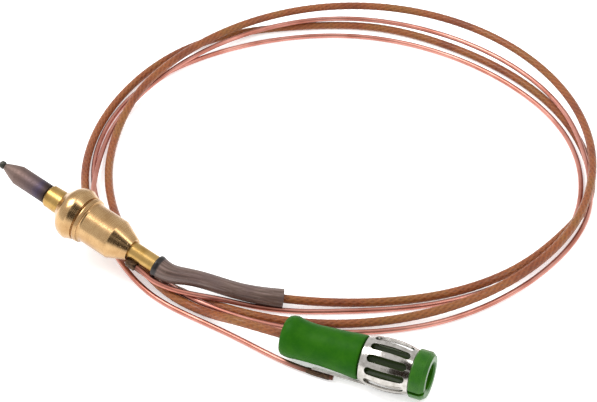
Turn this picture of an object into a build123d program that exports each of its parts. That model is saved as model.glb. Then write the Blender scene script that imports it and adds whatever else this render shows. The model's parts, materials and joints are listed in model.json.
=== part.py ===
from build123d import *
import os
from math import cos, sin, radians

# Gas hob thermocouple with a push-on coaxial connector and a two-turn lead.
# Millimetres.  The origin is on the axis of the brass mounting body, in the plane where
# its barrel starts.  +Z is up, +X is the horizontal heading of the probe from hot tip to
# lead.  "Along" is a distance on a local axis, "out" is a radius from it.

# ---------------------------------------------------------------- driving dimensions
SHEATH_D = 4.0            # steel probe sheath
FLANGE_D = 10.8           # brass mounting body
LIP_D = 9.4
BARREL_D = 8.2
BARREL_LENGTH = 6.3
TAIL_D = 3.6              # brass carrier tube behind the body
LEAD_D = 1.7              # glass-braided lead
CORE_D = 0.8
WIRE_D = 1.05             # bare copper return wire
SLEEVE_D = 3.3            # grey sleeving over the first stretch of lead
BASKET_D = 9.8            # contact basket at its fullest
NOSE_D = 9.1              # green nose ring of the connector
LAMELLAE = 12             # spring fingers of the basket
PROBE_TILT = 11.3         # the tip points up by this many degrees
BODY_HEIGHT = 9.2         # origin above the surface that the coil lies on
COIL_CENTRE = (25.54, 50.49)
PLUG_START = (45.44, -0.81)  # connector origin, just behind the green boot, from above
PLUG_HEADING = 12.0       # degrees from +X
GAP = 0.03                # clearance between nested pieces
STRAND_LENGTHS = 4        # lengths in which a whole strand is swept

TABLE = -BODY_HEIGHT
PLUG_HEIGHT = TABLE + BASKET_D / 2 + 0.05

# Probe distances along the body axis, measured from the barrel's start towards the lead.
TIP = -22.4
CONE_END = -18.4
COLLAR_FRONT = -10.8
FLANGE_FRONT = -6.9
RIM = -3.15               # widest place of the flange
GROOVE = -1.7             # narrow groove between flange and lip
LIP_REAR = -0.45
SHEATH_END = -2.0
CONE_REAR = BARREL_LENGTH + 3.9
TAIL_END = 16.9
CORE_START = 11.6
LEAD_START = 12.6
ROD_END = 11.4
MOUTH = 15.7
MOUTH_D = 4.4
SLEEVE_SNUG = 17.6
STRAIGHT_END = 18.4
WIRE_START = 10.4
WIRE_LEAVES = 13.2
WIRE_SIDE = 60.0          # degrees from straight below, towards -Y
BEAD_D = 1.7
BEAD_ROOT = 0.55          # flat root of the bead, behind its centre
SHEATH_WALL = 0.5
SEAT_D = 3.5              # the sheath is ground down a little where the collar holds it
ROD_D = 0.85
COLLAR_D = 4.9
TAIL_BORE = 2.6
SLEEVE_BORE = 2.2
THROAT_D = 2.0            # tightest place inside the sleeving, behind its mouth

# Connector distances along its own axis, measured from its origin towards the open end.
BOOT_REAR = 0.7
BOOT_FRONT = 16.2
BASKET_MIDDLE = 21.2
BASKET_FRONT = 26.0
NOSE_FRONT = 29.1
LEAD_STRAIGHT = -8.0
BRAID_END = 13.0
CORE_END = 16.2
NECK_START = 8.4
BASKET_WALL = 0.4
BASKET_PLATE = BOOT_FRONT + 0.15
BASKET_BACK = BASKET_PLATE + BASKET_WALL + GAP
SLOT_START = 17.8
SLOT_END = 25.3
SOCKET_FRONT = 25.2
WIRE_ARRIVES = 6.5
WIRE_END = 11.5
BOOT_D = 8.4
NECK_D = 6.2
SLOT_WIDTH = 1.45
SLOT_PHASE = 9.0          # turns the ring of slots about the connector axis
SOCKET_BORE = 2.3
NOSE_BORE = 5.3
NOTCH_WIDTH = 0.8
NOTCH_ANGLE = 8.0         # the notch lies this far below the horizontal, on the -Y side
TAB_ANGLE = 38.0          # earth tab, degrees from straight below towards -Y
TAB_REACH = 5.16          # return wire on the tab, distance from the connector axis
TAB_START = 7.4
TAB_ROOT = 17.8
TAB_THICK = 0.32
TAB_WIDTH = 1.7

# ---------------------------------------------------------------- coil stations
# Each station of a strand is (turn angle, radius from the coil centre, height above
# the surface).  The strands cross one another where the heights are staggered.
SLEEVED = [(-95, 48.9, 4.75), (-84, 45.6, 3.35)]
SLEEVE_FINISH = (-73, 43.2, 2.1)
BRAIDED = [
    (-57, 41.4, 1.0), (-41, 42.1, 0.9), (-26, 44.1, 1.1), (-11, 47.0, 2.1), (6, 49.4, 2.2),
    (15, 51.0, 1.7), (21, 51.8, 1.1), (30, 52.2, 0.9), (40, 51.8, 0.9), (51, 51.2, 0.9),
    (74, 49.9, 0.9), (94, 49.7, 0.9), (114, 50.8, 0.9), (134, 51.2, 0.9), (147, 52.6, 0.9),
    (162, 54.0, 0.9), (184, 53.8, 0.9), (209, 53.7, 0.9), (226, 53.6, 0.9), (239, 52.7, 0.9),
    (256, 50.8, 0.9), (272, 48.9, 0.9), (287, 47.8, 0.9), (304, 47.2, 1.1), (334, 48.2, 2.2),
    (352, 49.8, 3.4), (364, 50.8, 4.0), (379, 51.6, 4.1), (394, 52.4, 4.0), (414, 53.4, 4.0),
    (439, 54.4, 4.2), (464, 54.8, 4.2), (484, 54.2, 4.0), (504, 52.8, 3.5), (519, 51.3, 3.3),
    (534, 50.1, 3.2), (548, 49.6, 2.7), (562, 49.1, 1.4), (579, 48.8, 0.9), (588, 48.8, 1.0),
    (596, 49.1, 1.8), (604, 50.1, 3.3), (611, 51.6, 3.8), (618, 52.4, 3.1), (625, 52.2, 1.7),
    (633, 51.9, 1.5),
]
RETURN = [
    (-97, 52.7, 3.7), (-91, 50.4, 3.05), (-85, 47.8, 2.1), (-79, 46.1, 1.15), (-70, 44.6, 0.65),
    (-56, 43.3, 0.58), (-38, 44.2, 0.55), (-21, 46.4, 0.55), (-6, 48.3, 0.55), (6, 49.5, 0.55),
    (25, 50.1, 0.55), (48, 49.4, 0.55), (72, 47.5, 0.55), (94, 46.8, 0.55), (119, 47.2, 0.55),
    (144, 47.9, 0.55), (164, 49.6, 0.55), (184, 51.7, 0.55), (204, 52.2, 0.55), (213, 52.1, 0.6),
    (221, 51.9, 0.75), (231, 51.6, 1.9), (240, 51.5, 2.35), (248, 51.3, 2.35), (256, 51.1, 2.4),
    (264, 50.8, 2.05), (273, 50.3, 1.7), (289, 49.4, 0.9), (311, 49.1, 0.6), (324, 49.6, 0.7),
    (339, 50.2, 1.0), (359, 51.6, 1.7), (372, 52.5, 2.5), (384, 51.9, 2.6), (397, 51.2, 2.4),
    (411, 51.2, 2.5), (434, 50.9, 2.6), (459, 50.9, 2.6), (484, 51.2, 2.6), (504, 50.4, 2.3),
    (521, 49.9, 1.8), (537, 49.6, 1.6), (559, 50.7, 0.8), (574, 51.0, 1.6), (584, 52.0, 2.4),
    (592, 52.9, 2.5), (604, 53.4, 2.1), (612, 53.7, 1.2), (620, 53.9, 0.6), (630, 53.6, 0.55),
    (641, 54.3, 0.55),
]


# ---------------------------------------------------------------- frames and helpers
def body_frame():
    """Local frame with Z along the probe axis towards the lead, X pointing upwards."""
    tilt = radians(PROBE_TILT)
    return Plane(origin=(0, 0, 0), x_dir=(sin(tilt), 0, cos(tilt)),
                 z_dir=(cos(tilt), 0, -sin(tilt)))


def plug_frame():
    """Local frame with Z along the connector axis towards its open end, X upwards."""
    heading = radians(PLUG_HEADING)
    return Plane(origin=(PLUG_START[0], PLUG_START[1], PLUG_HEIGHT), x_dir=(0, 0, 1),
                 z_dir=(cos(heading), sin(heading), 0))


def on_coil(station):
    """Position of one coil station."""
    angle, radius, height = station
    turn = radians(angle)
    return Vector(COIL_CENTRE[0] + radius * cos(turn), COIL_CENTRE[1] + radius * sin(turn),
                  TABLE + height)


def lathe(frame, *points):
    """Solid of revolution with straight outline edges given as (out, along)."""
    profile = make_face(Plane.XZ * Polyline(*points, close=True))
    return frame.location * revolve(profile, Axis.Z)


def turned(frame, *edges):
    """Solid of revolution from outline edges that are drawn in (out, along)."""
    profile = make_face([Plane.XZ * edge for edge in edges])
    return frame.location * revolve(profile, Axis.Z)


def ring(frame, outer, inner, start, finish):
    """Plain tube about a local axis, given by its two radii and its two ends."""
    return lathe(frame, (inner, start), (outer, start), (outer, finish), (inner, finish))


def bar_along(path, diameter, lengths=1):
    """Round bar swept along a path.  A long path is swept in several lengths, end to
    end, which keeps the bar round and on its line."""
    start = Plane(origin=path @ 0, z_dir=path % 0)
    spine = Wire([path.trim(k / lengths, (k + 1) / lengths) for k in range(lengths)])
    return sweep(start * Circle(diameter / 2), path=spine)


def tube_along(path, outer, inner, lengths=1):
    """Round tube along a path, closed from its two skins and two end rings."""
    wide, narrow = bar_along(path, outer, lengths), bar_along(path, inner, lengths)
    skins = [face for bar in (wide, narrow) for face in bar.faces()
             if face.geom_type != GeomType.PLANE]
    holes = narrow.faces().filter_by(GeomType.PLANE)
    caps = []
    for face in wide.faces().filter_by(GeomType.PLANE):
        hole = min(holes, key=lambda other: (other.center() - face.center()).length)
        caps.append(Face(face.outer_wire(), [hole.outer_wire()]))
    return Solid(Shell(skins + caps))


BODY = body_frame()
PLUG = plug_frame()


# ---------------------------------------------------------------- strand centre lines
def on_axis(frame, along, up=0, side=0):
    """Point on or beside a local axis; up is local X and side is local Y."""
    return frame.from_local_coords((up, side, along))


def wire_seat(along, radius=TAIL_D / 2):
    """Centre of the return wire where it lies beside the brass tail, or the sleeve mouth."""
    reach = radius + WIRE_D / 2 + GAP
    return on_axis(BODY, along, -reach * cos(radians(WIRE_SIDE)),
                   reach * sin(radians(WIRE_SIDE)))


def tab_seat(along):
    """Centre of the return wire where it lies on the earth tab of the connector."""
    return on_axis(PLUG, along, -TAB_REACH * cos(radians(TAB_ANGLE)),
                   TAB_REACH * sin(radians(TAB_ANGLE)))


def lead_line():
    """Centre line of the lead core, from inside the brass tail to inside the plug."""
    tail = [on_axis(BODY, along) for along in
            (CORE_START, LEAD_START, 14.5, 16.2, SLEEVE_SNUG, STRAIGHT_END)]
    coil = [on_coil(station) for station in SLEEVED + [SLEEVE_FINISH] + BRAIDED]
    plug = [on_axis(PLUG, along) for along in
            (LEAD_STRAIGHT, -6, -3, 1, 5, 9, BRAID_END, CORE_END)]
    return Spline(*tail, *coil, *plug, tangents=[BODY.z_dir, PLUG.z_dir])


def stretch(line, start, finish):
    """Part of a centre line between two points that lie on it."""
    return line.trim(line.param_at_point(start), line.param_at_point(finish))


def return_line():
    """Centre line of the bare copper return wire."""
    tail = [wire_seat(along) for along in (WIRE_START, 11.8, WIRE_LEAVES)]
    tail.append(wire_seat(MOUTH + 0.6, MOUTH_D / 2))
    coil = [on_coil(station) for station in RETURN]
    tab = [tab_seat(along) for along in (WIRE_ARRIVES, 9, WIRE_END)]
    return Spline(*tail, *coil, *tab, tangents=[BODY.z_dir, PLUG.z_dir])


LEAD = lead_line()
WIRE = return_line()


# ---------------------------------------------------------------- hot end
def hot_junction_bead():
    """Weld bead that joins the sheath and the inner rod at the tip."""
    ball = Pos(0, 0, TIP) * Sphere(BEAD_D / 2)
    kept = Pos(0, 0, TIP + BEAD_ROOT - BEAD_D) * Cylinder(BEAD_D, 2 * BEAD_D)
    return BODY.location * (ball & kept)


def probe_sheath():
    """Steel sheath with a conical nose, open at the tip for the rod."""
    root, bore, step = TIP + BEAD_ROOT + GAP, SHEATH_D / 2 - SHEATH_WALL, COLLAR_FRONT - GAP
    return turned(BODY,
                  Line((ROD_D / 2 + GAP, root), (0.72, root)),
                  ThreePointArc((0.72, root), (1.36, TIP + 2.1), (SHEATH_D / 2, CONE_END)),
                  Line((SHEATH_D / 2, CONE_END), (SHEATH_D / 2, step)),
                  Line((SHEATH_D / 2, step), (SEAT_D / 2, step)),
                  Line((SEAT_D / 2, step), (SEAT_D / 2, SHEATH_END)),
                  Line((SEAT_D / 2, SHEATH_END), (bore, SHEATH_END)),
                  Line((bore, SHEATH_END), (bore, CONE_END + 0.4)),
                  Line((bore, CONE_END + 0.4), (ROD_D / 2 + GAP, TIP + 1.9)),
                  Line((ROD_D / 2 + GAP, TIP + 1.9), (ROD_D / 2 + GAP, root)))


def thermo_rod():
    """Inner rod of the second alloy, from the weld bead to the cold crimp."""
    return lathe(BODY, (0, TIP + BEAD_ROOT + GAP), (ROD_D / 2, TIP + BEAD_ROOT + GAP),
                 (ROD_D / 2, ROD_END), (0, ROD_END))


def sheath_ceramic():
    """Ceramic bead column that keeps the rod central in the sheath."""
    bore = SHEATH_D / 2 - SHEATH_WALL - GAP
    return ring(BODY, bore, ROD_D / 2 + GAP, CONE_END + 0.6, SHEATH_END - 0.5)


def carrier_tube():
    """Yellow brass tube: collar around the sheath in front, slim tail behind."""
    seat, collar, tail = SEAT_D / 2 + GAP, COLLAR_D / 2, TAIL_D / 2
    step = SHEATH_END + GAP
    return lathe(BODY, (seat, COLLAR_FRONT), (seat + 0.1, COLLAR_FRONT),
                 (collar - 0.12, COLLAR_FRONT + 0.5), (collar, FLANGE_FRONT),
                 (collar, step + 0.6), (tail, step + 0.6), (tail, TAIL_END),
                 (TAIL_BORE / 2, TAIL_END), (TAIL_BORE / 2, step), (seat, step))


def mounting_body():
    """Turned brass body: domed flange, lip, barrel and tapered back."""
    rim, lip, barrel = FLANGE_D / 2, LIP_D / 2, BARREL_D / 2
    wide, slim = COLLAR_D / 2 + GAP, TAIL_D / 2 + GAP
    step = SHEATH_END + 0.6 + 2 * GAP
    return turned(BODY,
                  Line((wide, FLANGE_FRONT), (2.9, FLANGE_FRONT)),
                  Spline((2.9, FLANGE_FRONT), (3.85, -6.05), (4.8, -5.2), (rim - 0.16, -4.3),
                         (rim, RIM), tangents=[(1, 0.6), (0, 1)]),
                  Line((rim, RIM), (rim - 0.12, RIM + 0.18)),
                  Line((rim - 0.12, RIM + 0.18), (lip + 0.05, GROOVE)),
                  Line((lip + 0.05, GROOVE), (lip - 0.35, GROOVE + 0.05)),
                  Line((lip - 0.35, GROOVE + 0.05), (lip - 0.3, GROOVE + 0.2)),
                  ThreePointArc((lip - 0.3, GROOVE + 0.2), (lip - 0.06, GROOVE + 0.42),
                                (lip, GROOVE + 0.75)),
                  Line((lip, GROOVE + 0.75), (lip - 0.1, LIP_REAR)),
                  ThreePointArc((lip - 0.1, LIP_REAR), (barrel + 0.14, LIP_REAR + 0.16), (barrel, 0)),
                  Line((barrel, 0), (barrel, BARREL_LENGTH)),
                  Line((barrel, BARREL_LENGTH), (2.3, CONE_REAR)),
                  Line((2.3, CONE_REAR), (slim, CONE_REAR)),
                  Line((slim, CONE_REAR), (slim, step)),
                  Line((slim, step), (wide, step)),
                  Line((wide, step), (wide, FLANGE_FRONT)))


def rear_bush():
    """Insulating bush that holds the lead inside the brass tail."""
    return ring(BODY, TAIL_BORE / 2 - GAP, LEAD_D / 2 + 3 * GAP,
                LEAD_START + 0.4, TAIL_END - 0.3)


def cold_crimp():
    """Crimped ferrule that joins the rod to the core of the lead."""
    return ring(BODY, 0.78, ROD_D / 2 + GAP, ROD_END - 0.9, LEAD_START - 0.1)


def earth_clip():
    """Brazed clip that holds the return wire against the brass tail."""
    start, finish = wire_seat(WIRE_START + 0.2), wire_seat(WIRE_LEAVES - 0.3)
    block = bar_along(Line(start, finish), WIRE_D + 0.8)
    wire = bar_along(Line(wire_seat(WIRE_START - 1), wire_seat(WIRE_LEAVES)), WIRE_D + 2 * GAP)
    tail = lathe(BODY, (0, WIRE_START - 1), (TAIL_D / 2 + GAP, WIRE_START - 1),
                 (TAIL_D / 2 + GAP, TAIL_END), (0, TAIL_END))
    return block - wire - tail


def insulating_sleeve():
    """Grey sleeving: wide mouth over the brass tail, then snug over the lead."""
    outer, inner = SLEEVE_D / 2, THROAT_D / 2
    mouth = lathe(BODY, (TAIL_D / 2 + GAP, MOUTH), (MOUTH_D / 2 - 0.05, MOUTH),
                  (MOUTH_D / 2 - 0.02, MOUTH + 1.0), (outer + 0.05, STRAIGHT_END - 0.2),
                  (inner, STRAIGHT_END - 0.2), (inner, TAIL_END + 0.2),
                  (TAIL_D / 2 + GAP, TAIL_END + 0.2))
    line = stretch(LEAD, on_axis(BODY, SLEEVE_SNUG), on_coil(SLEEVE_FINISH))
    return mouth + tube_along(line, SLEEVE_D, SLEEVE_BORE)


# ---------------------------------------------------------------- lead and return wire
def lead_braid():
    """Glass-fibre covering of the lead."""
    line = stretch(LEAD, on_axis(BODY, LEAD_START), on_axis(PLUG, BRAID_END))
    return tube_along(line, LEAD_D, CORE_D + 5 * GAP, STRAND_LENGTHS)


def lead_core():
    """Copper core of the lead."""
    return bar_along(LEAD, CORE_D, STRAND_LENGTHS)


def return_wire():
    """Bare copper wire from the brass tail to the earth tab."""
    return bar_along(WIRE, WIRE_D, STRAND_LENGTHS)


# ---------------------------------------------------------------- connector
def around_plug(solid, angle):
    """Turn a solid drawn in the connector frame about the connector axis."""
    return PLUG.location * (Rot(0, 0, angle) * solid)


def boot():
    """Green soft boot; it slides back along the lead."""
    neck, bore = NECK_D / 2 + 0.05, LEAD_D / 2 + 4 * GAP
    return turned(PLUG,
                  Line((bore, BOOT_REAR), (3.2, BOOT_REAR)),
                  ThreePointArc((3.2, BOOT_REAR), (3.62, BOOT_REAR + 0.25), (3.8, BOOT_REAR + 0.8)),
                  Spline((3.8, BOOT_REAR + 0.8), (3.88, 2.6), (3.66, 6.0), (3.85, 11.0),
                         (BOOT_D / 2, 15.9)),
                  Line((BOOT_D / 2, 15.9), (BOOT_D / 2 - 0.25, BOOT_FRONT)),
                  Line((BOOT_D / 2 - 0.25, BOOT_FRONT), (neck, BOOT_FRONT)),
                  Line((neck, BOOT_FRONT), (neck, NECK_START - 1.4)),
                  Line((neck, NECK_START - 1.4), (1.6, NECK_START - 3.4)),
                  Line((1.6, NECK_START - 3.4), (bore, NECK_START - 3.4)),
                  Line((bore, NECK_START - 3.4), (bore, BOOT_REAR)))


def basket_shell():
    """Sheet-metal shell of the basket before the slots are cut."""
    full, wall = BASKET_D / 2, BASKET_WALL
    back, front, middle = BASKET_PLATE, BASKET_FRONT, BASKET_MIDDLE
    neck_in = NECK_D / 2 - wall
    return turned(PLUG,
                  Line((NECK_D / 2, NECK_START), (NECK_D / 2, back)),
                  Line((NECK_D / 2, back), (4.0, back)),
                  Line((4.0, back), (4.25, back + 0.25)),
                  ThreePointArc((4.25, back + 0.25), (full, middle), (4.15, front)),
                  Line((4.15, front), (4.15 - wall, front)),
                  ThreePointArc((4.15 - wall, front), (full - wall, middle), (3.85, back + wall)),
                  Line((3.85, back + wall), (neck_in, back + wall)),
                  Line((neck_in, back + wall), (neck_in, NECK_START)),
                  Line((neck_in, NECK_START), (NECK_D / 2, NECK_START)))


def lamella_gap(angle):
    """Long round-ended slot between two spring fingers."""
    length = SLOT_END - SLOT_START
    outline = SlotOverall(length, SLOT_WIDTH, rotation=90)
    cutter = extrude(Plane.XZ * Pos(0, (SLOT_START + SLOT_END) / 2) * outline, -BASKET_D)
    return around_plug(cutter, angle)


def earth_tab():
    """Flat tab that runs back from the basket, outside the boot."""
    reach = TAB_REACH - WIRE_D / 2 - GAP - TAB_THICK / 2
    strip_length = TAB_ROOT - TAB_START
    strip = Pos(-reach, 0, TAB_START + strip_length / 2) * Box(TAB_THICK, TAB_WIDTH, strip_length)
    root = Pos(-reach + 0.12, 0, TAB_ROOT - 0.6) * Box(TAB_THICK + 0.24, TAB_WIDTH, 1.2)
    return around_plug(strip + root, -TAB_ANGLE)


def contact_basket():
    """Nickel-plated basket of spring fingers, with its neck and earth tab."""
    basket = basket_shell()
    for number in range(LAMELLAE):
        basket -= lamella_gap(SLOT_PHASE + number * 360 / LAMELLAE)
    return basket + earth_tab()


def lead_bush():
    """Insulating bush inside the neck of the basket."""
    return ring(PLUG, NECK_D / 2 - BASKET_WALL - GAP, LEAD_D / 2 + 3 * GAP,
                NECK_START + 0.3, BOOT_FRONT)


def core_ferrule():
    """Ferrule crimped on the end of the lead core."""
    return ring(PLUG, 0.82, CORE_D / 2 + GAP, BRAID_END + GAP, CORE_END)


def centre_socket():
    """Tinned centre contact: a hub on the core and a split tube for the mating pin."""
    hub_back, hub_front = CORE_END + 0.05, CORE_END + 1.3
    socket = lathe(PLUG, (0, hub_back), (1.2, hub_back), (1.2, BASKET_BACK), (1.6, BASKET_BACK),
                   (1.6, SOCKET_FRONT - 0.4), (1.45, SOCKET_FRONT), (SOCKET_BORE / 2, SOCKET_FRONT),
                   (SOCKET_BORE / 2, hub_front), (0, hub_front))
    slit = Pos(0, 0, SOCKET_FRONT - 1.5) * Box(4, 0.35, 3.1)
    return socket - PLUG.location * slit


def nose_insulator():
    """Green insulator: stem inside the basket and the thick ring in front of it."""
    rim, bore = NOSE_D / 2, NOSE_BORE / 2
    ring_back = BASKET_FRONT + GAP
    nose = lathe(PLUG, (1.6 + GAP, BASKET_BACK), (3.3, BASKET_BACK), (3.3, ring_back),
                 (rim - 0.3, ring_back), (rim, ring_back + 0.3), (rim, NOSE_FRONT - 0.7),
                 (rim - 0.55, NOSE_FRONT), (bore + 0.3, NOSE_FRONT), (bore, NOSE_FRONT - 0.3),
                 (bore, BASKET_BACK + 2.0), (1.6 + GAP, BASKET_BACK + 2.0))
    notch_length = NOSE_FRONT - ring_back + 0.2
    notch = Pos(0, rim, ring_back + notch_length / 2 - 0.1) * Box(NOTCH_WIDTH, 2.4, notch_length)
    return nose - around_plug(notch, NOTCH_ANGLE)


def tab_crimp():
    """Dark crimp that clamps the end of the return wire on the earth tab."""
    start, finish = tab_seat(WIRE_ARRIVES + 1.6), tab_seat(WIRE_END - 0.4)
    block = bar_along(Line(start, finish), WIRE_D + 0.7)
    wire = bar_along(Line(tab_seat(WIRE_ARRIVES), tab_seat(WIRE_END + 1)), WIRE_D + 2 * GAP)
    reach = TAB_REACH - WIRE_D / 2 - GAP
    inside = Pos(-reach + 1.5, 0, (WIRE_ARRIVES + WIRE_END) / 2) * Box(3 + 2 * GAP, 4, 8)
    return block - wire - around_plug(inside, -TAB_ANGLE)


PIECES = {
    "hot_junction_bead": hot_junction_bead,
    "probe_sheath": probe_sheath,
    "thermo_rod": thermo_rod,
    "sheath_ceramic": sheath_ceramic,
    "carrier_tube": carrier_tube,
    "mounting_body": mounting_body,
    "rear_bush": rear_bush,
    "cold_crimp": cold_crimp,
    "earth_clip": earth_clip,
    "insulating_sleeve": insulating_sleeve,
    "lead_braid": lead_braid,
    "lead_core": lead_core,
    "return_wire": return_wire,
    "boot": boot,
    "contact_basket": contact_basket,
    "lead_bush": lead_bush,
    "core_ferrule": core_ferrule,
    "centre_socket": centre_socket,
    "nose_insulator": nose_insulator,
    "tab_crimp": tab_crimp,
}

os.makedirs("parts", exist_ok=True)
for name, build in PIECES.items():
    export_step(build(), f"parts/{name}.step")
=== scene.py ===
"""Gas hob thermocouple: the visual model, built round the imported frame.

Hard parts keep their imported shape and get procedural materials.  Soft, woven and drawn
parts (braid, copper wire, sleeving, boot, weld bead, crimps) are swept, lathed or moulded
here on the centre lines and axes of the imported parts.  Lengths inside functions are in
millimetres unless a name says otherwise; MM turns them into metres.
"""
import heapq
import json
import math

import bmesh
import bpy
import numpy as np
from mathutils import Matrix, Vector, noise


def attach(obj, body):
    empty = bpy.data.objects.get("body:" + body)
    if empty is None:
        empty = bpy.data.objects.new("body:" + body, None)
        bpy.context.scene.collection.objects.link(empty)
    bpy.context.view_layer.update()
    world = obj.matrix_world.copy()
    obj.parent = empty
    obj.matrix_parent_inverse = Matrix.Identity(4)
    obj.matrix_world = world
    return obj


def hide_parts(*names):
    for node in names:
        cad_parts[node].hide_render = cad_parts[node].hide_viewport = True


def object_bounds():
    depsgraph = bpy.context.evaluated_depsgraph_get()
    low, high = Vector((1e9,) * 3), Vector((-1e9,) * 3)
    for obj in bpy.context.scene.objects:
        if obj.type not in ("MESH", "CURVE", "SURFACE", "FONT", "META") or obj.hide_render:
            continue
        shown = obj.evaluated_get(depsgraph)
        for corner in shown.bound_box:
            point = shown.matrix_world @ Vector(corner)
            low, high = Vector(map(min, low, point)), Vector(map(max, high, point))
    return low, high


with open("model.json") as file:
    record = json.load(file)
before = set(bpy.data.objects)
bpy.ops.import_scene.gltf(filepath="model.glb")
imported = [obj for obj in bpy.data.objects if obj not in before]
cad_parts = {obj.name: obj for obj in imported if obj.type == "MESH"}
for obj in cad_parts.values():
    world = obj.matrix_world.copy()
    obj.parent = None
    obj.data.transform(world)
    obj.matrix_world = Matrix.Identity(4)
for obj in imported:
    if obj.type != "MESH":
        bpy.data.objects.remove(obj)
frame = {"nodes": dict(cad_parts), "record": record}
cad_low, cad_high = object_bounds()

MM = 0.001
LEAD_BODY = "lead_and_ends"
BOOT_BODY = "boot"

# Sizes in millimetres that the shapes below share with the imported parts.
LEAD_R = 0.85
CORE_R = 0.4
WIRE_R = 0.525
TAIL_R = 1.8
SLEEVE_R = 1.65
MOUTH_R = 2.2
BRAID_STRANDS = 6         # strands of the braid that run each way round
BRAID_STEP = 1.8          # distance along the lead from one strand to the next one beside it
BRAID_RISE = 0.018        # how far a strand of the braid stands proud
MOUTH_RIM_AND_SHADE_WIDTH = 1.1           # black band painted at the sleeving's mouth: partly its dark rim, partly painted shade of the open mouth
BOOT_REAR = 0.7           # the boot's rear end, ahead of the connector's origin
RING_BACK = 26.1          # rear face of the green nose ring, along the connector
BEYOND = 1e4              # a distance that no strand reaches
LINE_STEP = 0.5           # spacing of the points of a measured centre line
END_REACH = 4.0           # how near the end of a centre line a bar's end face is looked for
CLAMP_ROUND = 0.25        # length over which the end of a clamp rounds off
CRIMP_START = 6.3         # where the wire starts to swell and darken on the earth tab


# ------------------------------------------------------------------ axes of the part
def mount(name):
    """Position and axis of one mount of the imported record, in metres."""
    found = [m for m in frame["record"]["mounts"] if m["name"] == name][0]
    return Vector(found["pos_m"]), Vector(found["axis"]).normalized()


class Axis:
    """A straight axis with an upward side direction; points are (along, up, side)."""

    def __init__(self, origin, along):
        self.origin = origin
        self.along = along.normalized()
        level = self.along.cross(Vector((0, 0, 1))).normalized()
        self.up = level.cross(self.along).normalized()
        self.side = level

    def point(self, along, up=0.0, side=0.0):
        """Point in metres for distances in millimetres; side is to the near right."""
        return self.origin + (self.along * along + self.up * up + self.side * side) * MM

    def measure(self, point):
        """Distance along the axis, in millimetres, of a point in metres."""
        return (point - self.origin).dot(self.along) / MM


def body_axis():
    """Axis of the brass body: origin in the barrel's front plane, towards the lead."""
    origin, along = mount("barrel_seat")
    return Axis(origin, along)


def plug_axis():
    """Axis of the connector: origin just behind the boot, towards the open end."""
    face, along = mount("nose_face")
    bore, _ = mount("contact_bore")
    on_face = bore + along * (face - bore).dot(along)
    rear = float(((node_points("boot") - np.array(on_face)) @ np.array(along)).min())
    return Axis(on_face + along * (rear - BOOT_REAR * MM), along)


def node_points(name):
    """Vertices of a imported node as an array, in metres."""
    mesh = frame["nodes"][name].data
    co = np.empty(len(mesh.vertices) * 3)
    mesh.vertices.foreach_get("co", co)
    return co.reshape(-1, 3)


BODY = body_axis()
PLUG = plug_axis()


# ------------------------------------------------------------------ centre lines
def welded(mesh):
    """Unique points of a mesh and its triangles in terms of them."""
    co = np.empty(len(mesh.vertices) * 3)
    mesh.vertices.foreach_get("co", co)
    co = co.reshape(-1, 3)
    points, index = np.unique(np.round(co, 7), axis=0, return_inverse=True)
    index = index.reshape(-1)
    mesh.calc_loop_triangles()
    tri = np.empty(len(mesh.loop_triangles) * 3, dtype=np.int64)
    mesh.loop_triangles.foreach_get("vertices", tri)
    return points, index[tri].reshape(-1, 3)


def outward(points, tri):
    """Unit normal at each point, weighted by triangle area."""
    cross = np.cross(points[tri[:, 1]] - points[tri[:, 0]], points[tri[:, 2]] - points[tri[:, 0]])
    cross /= np.linalg.norm(cross, axis=1)[:, None] + 1e-30
    total = np.zeros_like(points)
    for corner in range(3):
        np.add.at(total, tri[:, corner], cross)
    return total / (np.linalg.norm(total, axis=1)[:, None] + 1e-30)


def walk(points, tri, start):
    """Shortest distance over the mesh from one point to every other."""
    edges = np.unique(np.sort(np.vstack([tri[:, [0, 1]], tri[:, [1, 2]], tri[:, [2, 0]]]), axis=1),
                      axis=0)
    span = np.linalg.norm(points[edges[:, 0]] - points[edges[:, 1]], axis=1)
    both = np.vstack([edges, edges[:, ::-1]])
    cost = np.concatenate([span, span])
    order = np.argsort(both[:, 0], kind="stable")
    both, cost = both[order], cost[order]
    first = np.searchsorted(both[:, 0], np.arange(len(points) + 1)).tolist()
    goal, cost = both[:, 1].tolist(), cost.tolist()
    reached = [math.inf] * len(points)
    reached[start] = 0.0
    queue = [(0.0, start)]
    while queue:
        done, here = heapq.heappop(queue)
        if done > reached[here]:
            continue
        for k in range(first[here], first[here + 1]):
            there = goal[k]
            total = done + cost[k]
            if total < reached[there]:
                reached[there] = total
                heapq.heappush(queue, (total, there))
    return np.array(reached)


def resample(line, step):
    """Points at even spacing along a polyline, in millimetres."""
    gaps = np.linalg.norm(np.diff(line, axis=0), axis=1)
    arc = np.concatenate([[0.0], np.cumsum(gaps)])
    count = max(2, int(round(arc[-1] / step)) + 1)
    want = np.linspace(0.0, arc[-1], count)
    return np.stack([np.interp(want, arc, line[:, k]) for k in range(3)], axis=1)


def smooth(line, rounds):
    """Softens the small unevenness of a measured centre line, ends kept."""
    line = line.copy()
    for _ in range(rounds):
        line[1:-1] = 0.25 * line[:-2] + 0.5 * line[1:-1] + 0.25 * line[2:]
    return line


def centre_line(name, radius, origin):
    """Centre line, in millimetres, of a round bar that was packed as a mesh."""
    points, tri = welded(frame["nodes"][name].data)
    points = points / MM
    normal = outward(points, tri)
    start = int(np.argmin(np.linalg.norm(points - np.array(origin) / MM, axis=1)))
    reach = walk(points, tri, start)
    centre = points - normal * radius
    keep = np.isfinite(reach)
    bins = np.round(reach[keep] / (2 * LINE_STEP)).astype(int)
    count = np.bincount(bins)
    used = count > 0
    line = np.stack([np.bincount(bins, centre[keep][:, k])[used] / count[used]
                     for k in range(3)], axis=1)
    return smooth(resample(line[1:-1], LINE_STEP), 4)


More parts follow.
